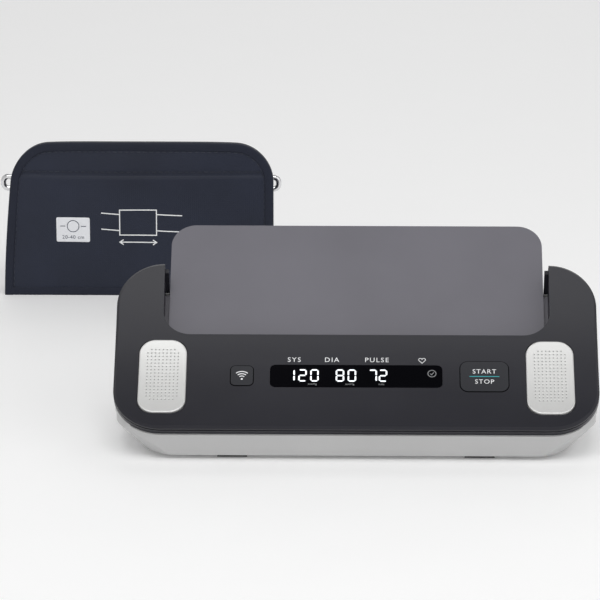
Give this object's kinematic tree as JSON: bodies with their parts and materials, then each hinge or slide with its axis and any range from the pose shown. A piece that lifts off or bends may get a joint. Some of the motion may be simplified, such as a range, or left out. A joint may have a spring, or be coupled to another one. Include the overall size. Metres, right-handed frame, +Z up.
{
  "type": "upper arm blood pressure monitor",
  "caption": "Desktop blood pressure monitor with a hollow black face, thumb electrodes, display strip, phone cradle and a folded upper-arm cuff standing behind it.",
  "frame": {"origin": "on the desk, under the middle of the box round the whole set, monitor and cuff together", "axes": "+Z up, +Y from the user towards the back, +X to the user's right"},
  "size_m": [0.3098, 0.3408, 0.0903],
  "materials": {
    "cover": "fine moulded texture, charcoal black",
    "base": "fine moulded texture, light grey",
    "rear": "smooth satin, mid grey",
    "window": "polished, smoked",
    "display": "matt frame with white segments",
    "button": "satin",
    "electrode": "plated, with a field of dimples",
    "spring_metal": "plain strip",
    "board": "solder mask",
    "shield_can": "tinned",
    "component": "moulded",
    "inner_plastic": "unpainted moulding",
    "cell": "sleeved cell",
    "motor_can": "zinc plated",
    "steel": "plain",
    "rubber": "matt",
    "hose": "silicone",
    "socket": "moulded",
    "cuff_cloth": "woven nylon, navy",
    "cuff_tape": "woven binding tape",
    "bladder": "film",
    "ring_metal": "bright wire",
    "hook_tape": "hook tape",
    "gland": "moulded"
  },
  "bodies": {
    "monitor": {"top_cover": "cover", "base_shell": "base", "rear_shell": "rear", "display_window": "window", "display_module": "display", "start_switch": "component", "radio_switch": "component", "thumb_electrode_left": "electrode", "thumb_electrode_right": "electrode", "side_electrode_left": "electrode", "side_electrode_right": "electrode", "electrode_contacts": "spring_metal", "main_board": "board", "radio_module": "shield_can", "processor": "component", "pressure_sensor": "component", "buzzer": "component", "battery_tray": "inner_plastic", "battery_cells": "cell", "cell_contacts": "spring_metal", "pump_motor": "motor_can", "pump_head": "inner_plastic", "pump_saddle": "rubber", "exhaust_valve": "component", "air_manifold": "inner_plastic", "hose_pump": "hose", "hose_jack": "hose", "hose_sensor": "hose", "air_jack": "socket", "power_jack": "socket", "rubber_feet": "rubber", "housing_screws": "steel", "board_screws": "steel", "cuff_flap": "cuff_cloth", "cuff_binding": "cuff_tape", "cuff_fold": "cuff_cloth", "cuff_bladder": "bladder", "cuff_hook_patch": "hook_tape", "cuff_tube_gland": "gland"},
    "start_button": {"start_button": "button"},
    "radio_button": {"radio_button": "button"},
    "battery_hatch": {"battery_hatch": "base"},
    "pump_shaft": {"pump_shaft": "steel"},
    "valve_plunger": {"valve_plunger": "steel"},
    "cuff_ring": {"cuff_ring": "ring_metal"}
  },
  "joints": [
    {"name": "start_button_press", "type": "slide", "parent": "monitor", "child": "start_button", "axis": [0, 0.6626, -0.749], "range_m": [0, 0.0008], "stiffness_N_per_m": 1200, "springref_m": -0.0003},
    {"name": "radio_button_press", "type": "slide", "parent": "monitor", "child": "radio_button", "axis": [0, 0.6626, -0.749], "range_m": [0, 0.0008], "stiffness_N_per_m": 1200, "springref_m": -0.0003},
    {"name": "battery_hatch_slide", "type": "slide", "parent": "monitor", "child": "battery_hatch", "axis": [0, 1, 0], "range_m": [0, 0.06]},
    {"name": "pump_shaft_spin", "type": "hinge", "parent": "monitor", "child": "pump_shaft", "pos_m": [0.10495, -0.09615, 0.024], "axis": [0, 1, 0], "continuous": true},
    {"name": "valve_plunger_slide", "type": "slide", "parent": "monitor", "child": "valve_plunger", "axis": [0, -1, 0], "range_m": [0, 0.0008], "stiffness_N_per_m": 800, "springref_m": -0.0003},
    {"name": "cuff_ring_swing", "type": "hinge", "parent": "monitor", "child": "cuff_ring", "pos_m": [-0.07775, 0.16705, 0.0597], "axis": [1, 0, 0], "range_deg": [0, 90]}
  ]
}
